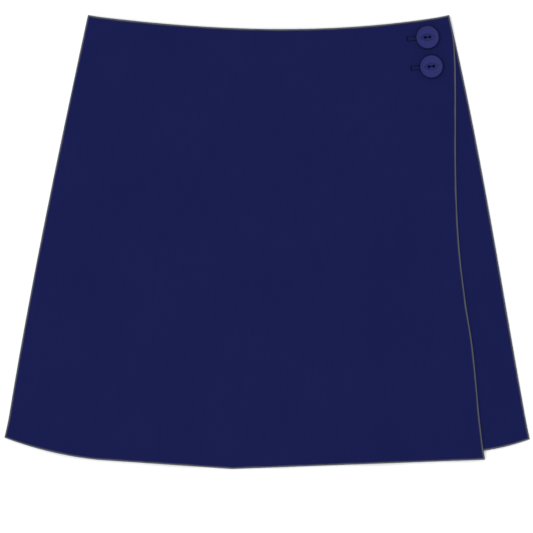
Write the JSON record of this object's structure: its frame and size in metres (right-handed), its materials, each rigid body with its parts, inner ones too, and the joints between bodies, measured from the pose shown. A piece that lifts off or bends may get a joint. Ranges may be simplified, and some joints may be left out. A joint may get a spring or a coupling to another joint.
{
  "type": "skort",
  "caption": "Girls' A-line skort laid flat: a wrap-over front flap, buttoned at the waist, on a pair of short legs.",
  "frame": {"origin": "on the surface that the skort lies on, under the middle of its outline", "axes": "+Z out of the front, away from the surface; +Y from the hem to the waist; +X towards the wearer's left, where the flap is buttoned"},
  "size_m": [0.4492, 0.3891, 0.0088],
  "materials": {
    "cloth": "matt navy twill",
    "button": "satin",
    "thread": "matt dark navy sewing thread"
  },
  "bodies": {
    "root": {"front_flap": "cloth", "front_leg_left": "cloth", "front_leg_right": "cloth", "back_leg_left": "cloth", "back_leg_right": "cloth", "button_upper": "button", "button_lower": "button", "shank_upper": "thread", "shank_lower": "thread"}
  },
  "joints": []
}
